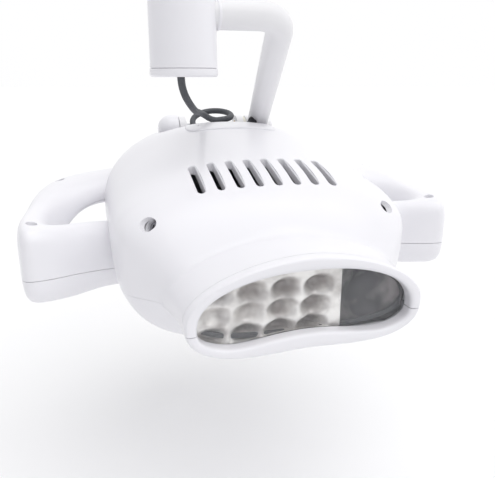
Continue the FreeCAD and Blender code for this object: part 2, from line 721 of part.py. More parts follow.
def spigot_clip():
    clip = ring(JOURNAL_R + 2.2, JOURNAL_R - 0.95, on_housing_axis(204.9), on_housing_axis(206.2))
    return clip.cut(box(HOUSING_X - 2, HOUSING_X + 2, NECK_Y, NECK_Y + 20, 200, 210))


def thrust_washer():
    return ring(19.5, JOURNAL_R + 0.1, on_housing_axis(HOUSING_TOP + 0.25), on_housing_axis(SHOULDER - 5))


# ---- build --------------------------------------------------------------------------------

TO_ROW = V(-HOUSING_X, -NECK_Y, -SHOULDER)


def save(name, shape):
    placed = shape.copy()
    placed.translate(TO_ROW)
    if not placed.isValid():
        print("INVALID", name)
    placed.exportStep(os.path.join("parts", name + ".step"))
    size = placed.BoundBox
    print(f"{name:22s} solids {len(placed.Solids):3d} volume {placed.Volume:10.0f} "
          f"z {size.ZMin:7.1f} {size.ZMax:7.1f}")


def main():
    os.makedirs("parts", exist_ok=True)
    form = head_solid()
    outer = form.cut(hinge_pocket())
    hollow = head_solid(WALL).cut(hinge_pocket(WALL))
    save("upper_shell", upper_shell(outer, hollow))
    save("lower_shell", lower_shell(outer, hollow))
    save("hinge_cover", hinge_cover(outer))
    save("front_bezel", front_bezel())
    save("lens_cover", lens_cover())
    save("lens_gasket", lens_gasket())
    save("reflector_array", reflector_array())
    save("led_board", led_board())
    save("led_emitters", led_emitters())
    save("heat_sink", heat_sink())
    save("chassis_plate", chassis_plate())
    save("chassis_screws", chassis_screws())
    save("driver_board", driver_board())
    save("board_spacers", board_spacers())
    save("driver_components", driver_components())
    save("sensor_window", sensor_window())
    save("sensor_board", sensor_board())
    for half, shape in zip(("upper", "lower"), grip_halves()):
        for side, piece in zip(("right", "left"), both_sides(shape)):
            save(f"handle_{side}_{half}", piece.cut(form))
    save("handle_screws", grip_screws())
    save("body_screws", body_screws())
    save("hinge_bracket", hinge_bracket())
    save("hinge_bush_left", bush(*EAR_X[0]))
    save("hinge_bush_right", bush(*EAR_X[1]))
    save("neck_hub", neck_hub())
    save("tilt_axle", tilt_axle())
    save("friction_washer", friction_washer())
    save("disc_springs", disc_springs())
    save("tension_nut", tension_nut())
    save("end_cap", end_cap())
    save("hub_plug", hub_plug())
    save("neck_tube", neck_tube())
    save("neck_clip", neck_clip())
    save("neck_collar", neck_collar())
    save("power_cable", power_cable())
    save("neck_grommet", neck_grommet())
    save("housing_shell", housing_shell())
    save("housing_base", housing_base())
    save("base_screws", base_screws())
    save("base_grommet", base_grommet())
    save("swivel_block", swivel_block())
    save("neck_bush", neck_bush())
    save("spigot_bush", spigot_bush())
    save("arm_spigot", arm_spigot())
    save("spigot_clip", spigot_clip())
    save("thrust_washer", thrust_washer())


main()
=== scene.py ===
"""The looks of a surgical light head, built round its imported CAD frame."""
import json
import math

import bmesh
import bpy
import numpy as np
from mathutils import Matrix, Vector
from mathutils.bvhtree import BVHTree


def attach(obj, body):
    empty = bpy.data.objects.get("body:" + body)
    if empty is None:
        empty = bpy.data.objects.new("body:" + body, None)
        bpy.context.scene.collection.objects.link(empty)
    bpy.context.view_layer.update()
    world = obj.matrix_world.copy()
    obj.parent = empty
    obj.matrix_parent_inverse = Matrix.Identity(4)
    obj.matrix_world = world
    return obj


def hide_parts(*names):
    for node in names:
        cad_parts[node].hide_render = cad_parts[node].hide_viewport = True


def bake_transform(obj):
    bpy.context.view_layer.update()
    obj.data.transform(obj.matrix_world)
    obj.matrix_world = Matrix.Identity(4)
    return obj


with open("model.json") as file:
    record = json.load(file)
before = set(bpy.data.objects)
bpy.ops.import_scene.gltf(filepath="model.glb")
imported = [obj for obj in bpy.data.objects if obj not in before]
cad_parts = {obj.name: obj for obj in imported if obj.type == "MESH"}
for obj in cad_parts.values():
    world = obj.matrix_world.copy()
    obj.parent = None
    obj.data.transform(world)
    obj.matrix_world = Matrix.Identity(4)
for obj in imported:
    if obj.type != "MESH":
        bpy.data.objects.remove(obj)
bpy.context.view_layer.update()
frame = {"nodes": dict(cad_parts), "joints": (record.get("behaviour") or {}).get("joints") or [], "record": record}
nodes = frame["nodes"]

# Shapes are drawn in the head's own axes, in millimetres: X to the right, Y to the back, Z up,
# with Z = 0 on the parting line of the shells. at() turns such a point into the row frame.
HOUSING_AXIS = (-51.8, 2.0)         # x and y of the upright axis that the housing turns on
TILT_LINE = (134.0, 94.0)           # y and z of the head's tilt axis, parallel to X
tilt_place = next(j for j in frame["joints"] if j["name"] == "head_tilt")["pos_m"]
ORIGIN = Vector((HOUSING_AXIS[0], TILT_LINE[0] - tilt_place[1] * 1000, TILT_LINE[1] - tilt_place[2] * 1000))


def at(x, y, z):
    return (Vector((x, y, z)) - ORIGIN) / 1000


# ---- small tools --------------------------------------------------------------------------


def through(table, column, where, key=0):
    """A smooth curve through one column of a table, read at the places in where."""
    keys = np.array([row[key] for row in table], float)
    values = np.array([row[column] for row in table], float)
    slopes = np.gradient(values, keys)
    where = np.clip(where, keys[0], keys[-1])
    i = np.clip(np.searchsorted(keys, where) - 1, 0, len(keys) - 2)
    gap = keys[i + 1] - keys[i]
    t = (where - keys[i]) / gap
    return ((2 * t ** 3 - 3 * t ** 2 + 1) * values[i] + (t ** 3 - 2 * t ** 2 + t) * gap * slopes[i]
            + (3 * t ** 2 - 2 * t ** 3) * values[i + 1] + (t ** 3 - t ** 2) * gap * slopes[i + 1])


def new_object(name, data):
    obj = bpy.data.objects.new(name, data)
    bpy.context.scene.collection.objects.link(obj)
    return obj


def from_lists(name, points, faces, sharp=40.0):
    """A smooth-shaded mesh object, its points in the head's axes and millimetres."""
    mesh = bpy.data.meshes.new(name)
    mesh.from_pydata([at(*p) for p in points], [], faces)
    mesh.validate()
    obj = new_object(name, mesh)
    shade(obj, sharp)
    return obj


def shade(obj, sharp=40.0):
    """Smooth shading with crisp edges where the faces meet at more than sharp degrees."""
    bm = bmesh.new()
    bm.from_mesh(obj.data)
    bmesh.ops.recalc_face_normals(bm, faces=bm.faces)
    for face in bm.faces:
        face.smooth = True
    for edge in bm.edges:
        edge.smooth = edge.is_manifold and edge.calc_face_angle(0.0) < math.radians(sharp)
    bm.to_mesh(obj.data)
    bm.free()


def grid_faces(rows, columns, wrap_rows=False, wrap_columns=True):
    faces = []
    for i in range(rows if wrap_rows else rows - 1):
        for j in range(columns if wrap_columns else columns - 1):
            a, b = i * columns, (i + 1) % rows * columns
            k = (j + 1) % columns
            faces.append((a + j, a + k, b + k, b + j))
    return faces


def tube_of(name, rings, capped=True, sharp=40.0):
    """A closed skin over rings of points, all with as many points."""
    columns = len(rings[0])
    faces = grid_faces(len(rings), columns)
    if capped:
        faces.append(tuple(range(columns))[::-1])
        last = (len(rings) - 1) * columns
        faces.append(tuple(last + j for j in range(columns)))
    return from_lists(name, [p for ring in rings for p in ring], faces, sharp)


def lathe(name, profile, start, way, segments=72, sharp=35.0, solid=True):
    """A turned piece. The profile is (distance along the way, radius); solid closes it with end
    faces, and otherwise the profile is a closed outline round a bore."""
    way = Vector(way).normalized()
    side = way.orthogonal().normalized()
    other = way.cross(side)
    start = Vector(start)
    rings = []
    for along, radius in profile:
        rings.append([start + way * along + (side * math.cos(t) + other * math.sin(t)) * radius
                      for t in (2 * math.pi * k / segments for k in range(segments))])
    if solid:
        return tube_of(name, rings, True, sharp)
    points = [p for ring in rings for p in ring]
    return from_lists(name, points, grid_faces(len(rings), segments, True), sharp)


def pipe(name, path, radii, segments=64):
    """A round bar along a path, its radius at each point."""
    rings, side = [], Vector((0, 0, 1))
    for i, (place, radius) in enumerate(zip(path, radii)):
        way = (path[min(i + 1, len(path) - 1)] - path[max(i - 1, 0)]).normalized()
        side = (side - way * side.dot(way)).normalized()
        other = way.cross(side)
        rings.append([place + (side * math.cos(t) + other * math.sin(t)) * radius
                      for t in (2 * math.pi * k / segments for k in range(segments))])
    return tube_of(name, rings, True, 50)


def ring_lathe(name, outline, start, way, segments=72, sharp=32.0):
    """A turned ring from a closed outline of (distance along the way, radius)."""
    return lathe(name, outline, start, way, segments, sharp, False)


def boolean(obj, cutter, operation="DIFFERENCE"):
    """Cuts or joins at once, and removes the cutter."""
    modifier = obj.modifiers.new("cut", "BOOLEAN")
    modifier.object = cutter
    modifier.operation = operation
    modifier.solver = "EXACT"
    done = bpy.data.meshes.new_from_object(obj.evaluated_get(bpy.context.evaluated_depsgraph_get()))
    obj.modifiers.clear()
    obj.data = done
    bpy.data.objects.remove(cutter)
    return obj


def rounded_box(name, low, high, radius, axis=2, steps=6):
    """A prism with rounded upright corners, its length along the given axis."""
    u, v = [k for k in range(3) if k != axis]
    rings = []
    for end in (low[axis], high[axis]):
        ring = []
        corners = ((high[u], high[v]), (low[u], high[v]), (low[u], low[v]), (high[u], low[v]))
        for turn, (cu, cv) in enumerate(corners):
            su = -1 if turn in (0, 3) else 1
            sv = -1 if turn in (0, 1) else 1
            for k in range(steps + 1):
                t = math.pi / 2 * (turn + k / steps)
                p = [0.0, 0.0, 0.0]
                p[u] = cu + su * radius + radius * math.cos(t)
                p[v] = cv + sv * radius + radius * math.sin(t)
                p[axis] = end
                ring.append(p)
        rings.append(ring)
    return tube_of(name, rings)


# ---- materials ----------------------------------------------------------------------------


def material(name, color, roughness, metallic=0.0, **sockets):
    mat = bpy.data.materials.new(name)
    mat.use_nodes = True
    shader = mat.node_tree.nodes["Principled BSDF"]
    shader.inputs["Base Color"].default_value = (*color, 1)
    shader.inputs["Roughness"].default_value = roughness
    shader.inputs["Metallic"].default_value = metallic
    for socket, value in sockets.items():
        shader.inputs[socket.replace("_", " ")].default_value = value
    return mat, mat.node_tree, shader


def noise(tree, scale, detail=3.0, stretch=(1, 1, 1)):
    """A noise texture in the row frame's own metres, stretched along the axes."""
    place = tree.nodes.new("ShaderNodeTexCoord")
    mapping = tree.nodes.new("ShaderNodeMapping")
    mapping.inputs["Scale"].default_value = stretch
    texture = tree.nodes.new("ShaderNodeTexNoise")
    texture.inputs["Scale"].default_value = scale
    texture.inputs["Detail"].default_value = detail
    tree.links.new(place.outputs["Object"], mapping.inputs["Vector"])
    tree.links.new(mapping.outputs["Vector"], texture.inputs["Vector"])
    return texture.outputs["Fac"]


def ramp(tree, source, low, high, span=(0.35, 0.65)):
    node = tree.nodes.new("ShaderNodeValToRGB")
    node.color_ramp.elements[0].position, node.color_ramp.elements[1].position = span
    node.color_ramp.elements[0].color = (*low, 1) if len(low) == 3 else low
    node.color_ramp.elements[1].color = (*high, 1) if len(high) == 3 else high
    tree.links.new(source, node.inputs["Fac"])
    return node.outputs["Color"]


def bump(tree, shader, source, strength, distance):
    node = tree.nodes.new("ShaderNodeBump")
    node.inputs["Strength"].default_value = strength
    node.inputs["Distance"].default_value = distance
    tree.links.new(source, node.inputs["Height"])
    tree.links.new(node.outputs["Normal"], shader.inputs["Normal"])


def grey(value):
    return (value, value, value)


def moulded(name, color, roughness, spread=0.03, coat=0.35, grain=2600.0, depth=0.000012):
    """Moulded plastic: a faint colour drift, slightly uneven gloss and a fine mould grain."""
    mat, tree, shader = material(name, color, roughness, Coat_Weight=coat, Coat_Roughness=0.16)
    darker = tuple(c * 0.985 for c in color)
    tree.links.new(ramp(tree, noise(tree, 14, 2), darker, color, (0.3, 0.7)), shader.inputs["Base Color"])
    gloss = ramp(tree, noise(tree, 60, 3), grey(roughness - spread), grey(roughness + spread), (0.25, 0.75))
    tree.links.new(gloss, shader.inputs["Roughness"])
    bump(tree, shader, noise(tree, grain, 2), 0.05, depth)
    return mat


def turned(name, color, roughness, stretch, scale=900.0):
    """Metal with fine machining lines across one axis."""
    mat, tree, shader = material(name, color, roughness, 1.0)
    lines = noise(tree, scale, 4, stretch)
    tree.links.new(ramp(tree, lines, tuple(c * 0.86 for c in color), color), shader.inputs["Base Color"])
    tree.links.new(ramp(tree, lines, grey(roughness - 0.08), grey(roughness + 0.1)),
                   shader.inputs["Roughness"])
    bump(tree, shader, lines, 0.2, 0.00002)
    return mat


def dull(name, color, roughness, scale=700.0, depth=0.00006):
    """Rubber, cable sleeve and other matt parts."""
    mat, tree, shader = material(name, color, roughness)
    grain = noise(tree, scale, 5)
    tree.links.new(ramp(tree, grain, tuple(c * 0.78 for c in color), color), shader.inputs["Base Color"])
    tree.links.new(ramp(tree, grain, grey(roughness - 0.12), grey(min(roughness + 0.08, 1))),
                   shader.inputs["Roughness"])
    bump(tree, shader, grain, 0.35, depth)
    return mat


def clear_cover():
    mat, tree, shader = material("window_plastic", (0.93, 0.95, 0.97), 0.06, IOR=1.49)
    shader.inputs["Alpha"].default_value = 0.07
    haze = noise(tree, 90, 4)
    tree.links.new(ramp(tree, haze, grey(0.04), grey(0.1)), shader.inputs["Roughness"])
    return mat


def depth_shade_mask(tree, shallow, deep):
    """The mask for painted shade by depth: 0 at the depth shallow (Y of the row frame, metres) to 1 at deep."""
    place = tree.nodes.new("ShaderNodeTexCoord")
    split = tree.nodes.new("ShaderNodeSeparateXYZ")
    fade = tree.nodes.new("ShaderNodeMapRange")
    fade.inputs["From Min"].default_value = shallow
    fade.inputs["From Max"].default_value = deep
    tree.links.new(place.outputs["Object"], split.inputs["Vector"])
    tree.links.new(split.outputs["Y"], fade.inputs["Value"])
    return fade.outputs["Result"]


def silvered(name, rim, well_shade, roughness, span, depth_shade_share, clouds, grain):
    """Metallised reflector: its own bright colour where it stands forward, painted shade that darkens it down in
    the cups, and cloudy tone at random.
    """
    mat, tree, shader = material(name, rim, roughness, 0.45)
    # painted shade: the colour is darkened in step with depth into the cups
    shade_by_depth = tree.nodes.new("ShaderNodeMath")
    shade_by_depth.operation = "MULTIPLY"
    shade_by_depth.inputs[1].default_value = depth_shade_share
    tree.links.new(depth_shade_mask(tree, at(0, span[0], 0).y, at(0, span[1], 0).y), shade_by_depth.inputs[0])
    fade = tree.nodes.new("ShaderNodeMath")
    fade.operation = "MULTIPLY_ADD"
    fade.inputs[1].default_value = clouds
    tree.links.new(noise(tree, grain, 2), fade.inputs[0])
    tree.links.new(shade_by_depth.outputs["Value"], fade.inputs[2])
    # base colour runs from the rim colour to the painted shade colour over random clouds plus depth
    low, high = 0.38 * clouds, 0.58 * clouds + 0.75 * depth_shade_share
    tree.links.new(ramp(tree, fade.outputs["Value"], rim, well_shade, (low, high)), shader.inputs["Base Color"])
    tree.links.new(ramp(tree, noise(tree, 120, 3), grey(roughness - 0.06), grey(roughness + 0.06)),
                   shader.inputs["Roughness"])
    bump(tree, shader, noise(tree, 150, 2), 0.12, 0.0003)
    return mat


WHITE = moulded("white_moulding", (0.845, 0.84, 0.872), 0.32, coat=0.18)
POWDER = moulded("white_powder_coat", (0.82, 0.817, 0.832), 0.4, 0.06, 0.08, 1500.0, 0.00004)
STEEL = turned("turned_steel", (0.60, 0.61, 0.63), 0.30, (1, 1, 14))
ZINC = turned("zinc_plate", (0.42, 0.42, 0.45), 0.38, (4, 4, 4), 500.0)
BRONZE = turned("sintered_bronze", (0.55, 0.38, 0.19), 0.42, (3, 1, 1), 600.0)
BRASS = turned("turned_brass", (0.70, 0.52, 0.22), 0.28, (1, 1, 10))
ALLOY = turned("blasted_alloy", (0.66, 0.67, 0.69), 0.45, (1, 1, 1), 1200.0)
ACETAL = moulded("acetal", (0.74, 0.72, 0.64), 0.5, 0.06, 0.0)
RUBBER = dull("grey_rubber", (0.075, 0.077, 0.083), 0.7)
SLEEVE = dull("cable_sleeve", (0.085, 0.09, 0.10), 0.62, 900.0)
CIRCUIT = moulded("solder_mask", (0.70, 0.72, 0.70), 0.45, 0.05, 0.2)
PHOSPHOR = dull("phosphor", (0.93, 0.78, 0.30), 0.5, 1500.0, 0.00002)
DARK_PART = moulded("black_component", (0.03, 0.03, 0.035), 0.5, 0.05, 0.1)
FILTER = moulded("infrared_filter", (0.05, 0.008, 0.012), 0.12, 0.03, 0.6)
WINDOW = clear_cover()
# silvered cups: the second colour is painted shade down in the cups
SILVER = silvered("reflector_silver", (0.985, 0.97, 0.94), (0.33, 0.295, 0.28), 0.36,
                  (-109, -99), 0.4, 0.9, 95)
# the dark bay: a dark silvered sheet, painted darker still with depth (painted shade)
DARK_BAY_SILVER = silvered("dark_bay_reflector", (0.34, 0.31, 0.31), (0.025, 0.022, 0.03), 0.34,
                  (-112, -86), 0.12, 1.0, 70)
BY_SLOT = {"white": WHITE, "painted": POWDER, "steel": STEEL, "spring_steel": ZINC, "bronze": BRONZE,
           "brass": BRASS, "bearing": ACETAL, "alloy": ALLOY, "rubber": RUBBER, "cable": SLEEVE,
           "clear": WINDOW, "dark_clear": FILTER, "mirror": SILVER, "circuit": CIRCUIT,
           "emitter": PHOSPHOR, "component": DARK_PART}
SLOT_OF = {part["node"]: part["material_slot"] for part in frame["record"]["subparts"]}


def finish_piece(obj, mat, body, slot, *stands_for):
    obj.data.materials.clear()
    obj.data.materials.append(mat)
    if stands_for:
        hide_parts(*stands_for)
    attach(obj, body)
    return obj


def paint_cad():
    for name, obj in nodes.items():
        obj.data.materials.clear()
        obj.data.materials.append(BY_SLOT[SLOT_OF[name]])


# ---- camera and light ---------------------------------------------------------------------

CAMERA_AT = (-119.8, -392.1, 143.0)         # in the head's axes
CAMERA_TURN, CAMERA_DOWN = math.radians(-16.3), math.radians(16.92)
SENSOR_WIDTH, LENS = 36.0, 38.55            # mm


def camera():
    data = bpy.data.cameras.new("camera")
    data.sensor_width, data.lens = SENSOR_WIDTH, LENS
    data.clip_end = 20
    obj = new_object("camera", data)
    obj.location = at(*CAMERA_AT)
    obj.rotation_euler = (math.pi / 2 - CAMERA_DOWN, 0, CAMERA_TURN)
    bpy.context.scene.camera = obj


def sun(name, way, strength, softness, color=(1, 1, 1)):
    """A soft distant light that shines along way."""
    data = bpy.data.lights.new(name, "SUN")
    data.energy, data.angle, data.color = strength, math.radians(softness), color
    obj = new_object(name, data)
    obj.rotation_euler = Vector(way).to_track_quat("-Z", "Y").to_euler()


BRIGHT_SIDE = Vector((0.45, 0.75, 0.45)).normalized()
DIM_SKY, BRIGHT_SKY = (0.36, 0.36, 0.38, 1), (1.0, 1.0, 1.005, 1)
SKY_SPAN = (-0.45, 0.75)                    # where the sky turns from dim to bright, -1 to 1
FLOOR_Z = -196.0                            # in the head's axes, mm
FLOOR_HALF, FLOOR_ROWS = 30.0, 9            # half its side in metres, and points along it


def studio_walls():
    """White walls all round, bright behind the light and to its right and dimmer towards the front."""
    world = bpy.data.worlds.new("studio")
    world.use_nodes = True
    tree = world.node_tree
    place = tree.nodes.new("ShaderNodeTexCoord")
    dot = tree.nodes.new("ShaderNodeVectorMath")
    dot.operation = "DOT_PRODUCT"
    dot.inputs[1].default_value = BRIGHT_SIDE
    fade = tree.nodes.new("ShaderNodeMapRange")
    fade.interpolation_type = "SMOOTHSTEP"
    fade.inputs["From Min"].default_value, fade.inputs["From Max"].default_value = SKY_SPAN
    mix = tree.nodes.new("ShaderNodeMix")
    mix.data_type = "RGBA"
    mix.inputs["A"].default_value = DIM_SKY
    mix.inputs["B"].default_value = BRIGHT_SKY
    tree.links.new(place.outputs["Generated"], dot.inputs[0])
    tree.links.new(dot.outputs["Value"], fade.inputs["Value"])
    tree.links.new(fade.outputs["Result"], mix.inputs["Factor"])
    tree.links.new(mix.outputs["Result"], tree.nodes["Background"].inputs["Color"])
    bpy.context.scene.world = world


def studio():
    bpy.context.scene.view_settings.view_transform = "Standard"
    studio_walls()
    sun("key", (-0.16, 0.46, -0.87), 1.55, 72, (1.0, 0.998, 0.99))
    mesh = bpy.data.meshes.new("floor")
    centre = at(0, 0, FLOOR_Z)
    across = [FLOOR_HALF * (2 * i / (FLOOR_ROWS - 1) - 1) for i in range(FLOOR_ROWS)]
    mesh.from_pydata([(centre.x + x, centre.y + y, centre.z) for x in across for y in across], [],
                     grid_faces(FLOOR_ROWS, FLOOR_ROWS, False, False))
    floor = new_object("floor", mesh)
    mat, tree, shader = material("floor_paper", (0.87, 0.87, 0.875), 0.85)
    tree.links.new(ramp(tree, noise(tree, 3, 2), (0.865, 0.865, 0.87), (0.875, 0.875, 0.88)),
                   shader.inputs["Base Color"])
    mesh.materials.append(mat)


# ---- the head's outer form ----------------------------------------------------------------

# The dome: y, half width, height of the widest line, top, bottom, exponents above and below.
DOME = [
    (-92, 66, 6, 16, -10, 2.3, 2.4),
    (-75, 80, 14, 39, -23, 2.4, 2.2),
    (-60, 94.5, 25, 57, -34, 2.4, 2.4),
    (-48, 105.2, 30, 66, -41, 2.4, 2.9),
    (-30, 110.5, 33, 74.5, -43, 2.4, 3.1),
    (0, 111.8, 35, 83, -43.2, 2.3, 3.0),
    (50, 112, 37, 95, -43.2, 2.2, 2.8),
    (100, 110.5, 38, 103, -41, 2.2, 2.6),
    (130, 102, 37, 100, -36, 2.2, 2.4),
    (150, 85, 35, 88, -25, 2.2, 2.2),
    (161, 62, 33, 70, -9, 2.1, 2.1),
    (167.3, 30, 31, 47, 14, 2.0, 2.0),
]
# The muzzle that holds the light window, which runs on inside the dome.
MUZZLE = [
    (-114, 77.5, 8, 42, -21.3, 1.8, 3.0),
    (-100, 77.8, 8, 42, -21.3, 1.8, 2.9),
    (-85, 80, 8, 42, -21.6, 1.85, 2.7),
    (-70, 84, 8, 41.5, -22.4, 1.9, 2.5),
    (-50, 88, 8, 40, -24, 2.0, 2.4),
    (-20, 84, 8, 34, -24, 2.0, 2.4),
]
POLE_Z = 12.0                   # both forms are star-shaped about the line x = 0, z = POLE_Z
MOUTH_Y, SHELL_BACK = -112.4, 167.6
WALL = 2.8
SEAM_GAP = 0.18


def superellipse_reach(angle, half, middle, top, bottom, upper, lower):
    """Distance from the pole line to a section's outline along each angle."""
    c, s = np.cos(angle), np.sin(angle)
    low, high = np.zeros_like(angle), np.full_like(angle, 200.0)
    for _ in range(34):
        mid = (low + high) / 2
        x, z = mid * c, POLE_Z + mid * s - middle
        above = z >= 0
        reach = np.where(above, top - middle, middle - bottom)
        power = np.where(above, upper, lower)
        inside = (np.abs(x) / half) ** power + (np.abs(z) / reach) ** power < 1
        low, high = np.where(inside, mid, low), np.where(inside, high, mid)
    return low


def drawn_up(reach, angle, dent, half):
    """The outline with its underside raised by dent at x = 0, fading out at x = half."""
    x = reach * np.cos(angle)
    raised = dent * np.clip(1 - (x / half) ** 2, 0, 1) ** 1.5 * np.clip(-np.sin(angle) * 2.2, 0, 1)
    return reach - raised


def polar_ring(reach, y, angle):
    return [(r * math.cos(t), y, POLE_Z + r * math.sin(t)) for r, t in zip(reach, angle)]


def form_reach(y, angle):
    """The outer form's distance from the pole line at y, for an array of angles."""
    dome = superellipse_reach(angle, *[through(DOME, k, y) for k in range(1, 7)])
    if y > MUZZLE[-1][0]:
        return dome
    if y < DOME[0][0]:
        dome = dome * 0.2
    muzzle = superellipse_reach(angle, *[through(MUZZLE, k, y) for k in range(1, 7)])
    muzzle = drawn_up(muzzle, angle, 3.2 * min(max((-50 - y) / 40, 0), 1), 58)
    # the two run into each other softly over the middle of the brow and crisply at the sides
    blend = 1.2 + 6.8 * np.clip(np.sin(angle), 0, 1) ** 2
    near = np.clip(0.5 + 0.5 * (dome - muzzle) / blend, 0, 1)
    return muzzle + (dome - muzzle) * near + blend * near * (1 - near)


def form_rings(inset=0.0, around=200):
    """Rings of points over the whole outer form, or over the form drawn in by inset."""
    front = np.arange(MOUTH_Y, -30, 1.6)
    middle = np.arange(-30, 120, 3.2)
    back = [120 + (SHELL_BACK - inset - 120) * math.sin(math.pi / 2 * k / 22) for k in range(23)]
    angle = 2 * np.pi * (np.arange(around) + 0.5) / around
    rings = []
    for y in (*(front - inset), *middle, *back):
        reach = np.min([form_reach(y + step, angle) for step in (-inset, 0, inset)], axis=0) - inset
        rings.append(polar_ring(reach, y, angle))
    return rings


def form_solid(name, inset=0.0):
    return tube_of(name, form_rings(inset))


POCKET_LOW, POCKET_HIGH = (-60.0, 98.0, 77.0), (60.0, 240.0, 160.0)


def pocket(name, grow=0.0):
    low = [POCKET_LOW[0] - grow, POCKET_LOW[1] - grow, POCKET_LOW[2] - grow]
    high = [POCKET_HIGH[0] + grow, POCKET_HIGH[1], POCKET_HIGH[2]]
    return rounded_box(name, low, high, 8 + grow)


def skin_tree(obj):
    mesh = obj.data
    return BVHTree.FromPolygons([v.co.copy() for v in mesh.vertices],
                                [tuple(p.vertices) for p in mesh.polygons])


def skin_height(tree, x, y):
    """The height of the outer form over (x, y), in the head's axes."""
    hit = tree.ray_cast(at(x, y, 220), Vector((0, 0, -1)))[0]
    return (hit * 1000 + ORIGIN).z


VENTS, VENT_PITCH, VENT_HALF, VENT_ENDS = 8, 14.1, 2.7, (-41.0, 0.5)


def vent_cutter(x, tree):
    """A rounded slot with a small chamfer where it meets the skin."""
    outline = []
    steps = 7
    for end, turn in ((VENT_ENDS[1] - VENT_HALF, 0), (VENT_ENDS[0] + VENT_HALF, 1)):
        for k in range(steps + 1):
            t = math.pi * (turn + k / steps)
            outline.append((math.cos(t), math.sin(t), end))
    rings = []
    for lift, extra in ((6, 1.3), (0.25, 0.75), (-0.65, 0.0), (-9, -0.1)):
        radius = VENT_HALF + extra
        rings.append([(x + c * radius, end + s * radius,
                       skin_height(tree, x + c * VENT_HALF, end + s * VENT_HALF) + lift)
                      for c, s, end in outline])
    return tube_of("vent_cutter", rings)


def vent_walls(tree):
    """The short walls moulded under the skin round each slot."""
    points, faces = [], []
    steps = 9
    for i in range(VENTS):
        x = (i - (VENTS - 1) / 2) * VENT_PITCH
        rings = []
        for out, drop in ((1.3, -1.6), (1.2, -6.6), (0.03, -6.6), (0.1, -1.6)):
            ring = []
            for end, turn in ((VENT_ENDS[1] - VENT_HALF, 0), (VENT_ENDS[0] + VENT_HALF, 1)):
                for k in range(steps + 1):
                    t = math.pi * (turn + k / steps)
                    c, s = math.cos(t), math.sin(t)
                    ring.append((x + c * (VENT_HALF + out), end + s * (VENT_HALF + out),
                                 skin_height(tree, x, end + s * VENT_HALF) + drop))
            rings.append(ring)
        base = len(points)
        points += [p for ring in rings for p in ring]
        faces += [tuple(base + v for v in face) for face in grid_faces(4, len(rings[0]), True)]
    finish_piece(from_lists("vent_walls", points, faces, 40), WHITE, "head", "white")


def capsule(name, start, way, radius, length, taper=0.0):
    """A round cutter from start along the way, a little wider at its mouth."""
    profile = [(0, radius), (length - 1.2, radius), (length, radius + taper), (length + 6, radius + taper)]
    return lathe(name, profile, start, way, 40)


def split_at_seam(obj, names, plane_z=0.0, gap=SEAM_GAP):
    """Two pieces in place of one, parted by a thin gap at plane_z."""
    pieces = []
    for name, keep in zip(names, (1, -1)):
        bm = bmesh.new()
        bm.from_mesh(obj.data)
        cut = bmesh.ops.bisect_plane(bm, geom=bm.verts[:] + bm.edges[:] + bm.faces[:],
                                     plane_co=at(0, 0, plane_z + keep * gap / 2), plane_no=(0, 0, keep),
                                     clear_inner=True, dist=1e-7)
        rim = [e for e in cut["geom_cut"] if isinstance(e, bmesh.types.BMEdge)]
        bmesh.ops.triangle_fill(bm, edges=rim, use_beauty=True)
        mesh = bpy.data.meshes.new(name)
        bm.to_mesh(mesh)
        bm.free()
        piece = new_object(name, mesh)
        shade(piece, 32)
        pieces.append(piece)
    bpy.data.objects.remove(obj)
    return pieces


BODY_SCREW, BODY_SCREW_WAY = (87, -50, 50), Vector((0.72, -0.42, 0.55)).normalized()
EAR_SLOTS_X = ((-36.9, -29.6), (20.1, 27.4))     # where the bracket's ears come through the shell


def brow_screws():
    """The name, place and outward direction of each of the two brow screws."""
    for side, name in ((-1, "left"), (1, "right")):
        place = Vector((side * BODY_SCREW[0], *BODY_SCREW[1:]))
        yield name, place, Vector((side * BODY_SCREW_WAY.x, BODY_SCREW_WAY.y, BODY_SCREW_WAY.z))


def head_shells():
    outer = form_solid("form")
    tree = skin_tree(outer)
    boolean(outer, pocket("pocket"))
    inner = form_solid("hollow", WALL)
    boolean(inner, pocket("pocket_wall", WALL))
    boolean(outer, inner)
    for i in range(VENTS):
        boolean(outer, vent_cutter((i - (VENTS - 1) / 2) * VENT_PITCH, tree))
    for _, place, way in brow_screws():
        boolean(outer, capsule("recess", place - way * 6, way, 5.0, 7.2, 0.6))
    for low, high in EAR_SLOTS_X:
        boolean(outer, rounded_box("ear_slot", (low, 125, 60), (high, 143, 78), 1.5))
    upper, lower = split_at_seam(outer, ("head_upper_skin", "head_lower_skin"))
    finish_piece(upper, WHITE, "head", "white", "upper_shell")
    finish_piece(lower, WHITE, "head", "white", "lower_shell")
    return tree


def screw_sockets():
    """The blind cups that the two brow screws sit in."""
    wall = [(-8.2, 0.4), (-8.2, 6.2), (-1.6, 6.2), (-1.6, 5.05), (-6.9, 5.0), (-6.9, 0.4)]
    for name, place, way in brow_screws():
        finish_piece(lathe(f"brow_cup_{name}", wall, place, way, 40), WHITE, "head", "white")


# ---- light window -------------------------------------------------------------------------

BEZEL_FRONT, BEZEL_BACK = -120.0, -112.55
WINDOW_STEPS = 160
FRAME_GAP = 0.5
PANE_Y, PANE_THICK, PANE_DOME, PANE_LAP = -111.2, 1.6, 1.4, 1.6


def window_angles():
    return 2 * np.pi * (np.arange(WINDOW_STEPS) + 0.5) / WINDOW_STEPS


WINDOW_HALF, WINDOW_MIDDLE_Z, WINDOW_Z = 70, 3.0, (-14.2, 33)
WINDOW_DENT, DENT_HALF = 6.2, 52


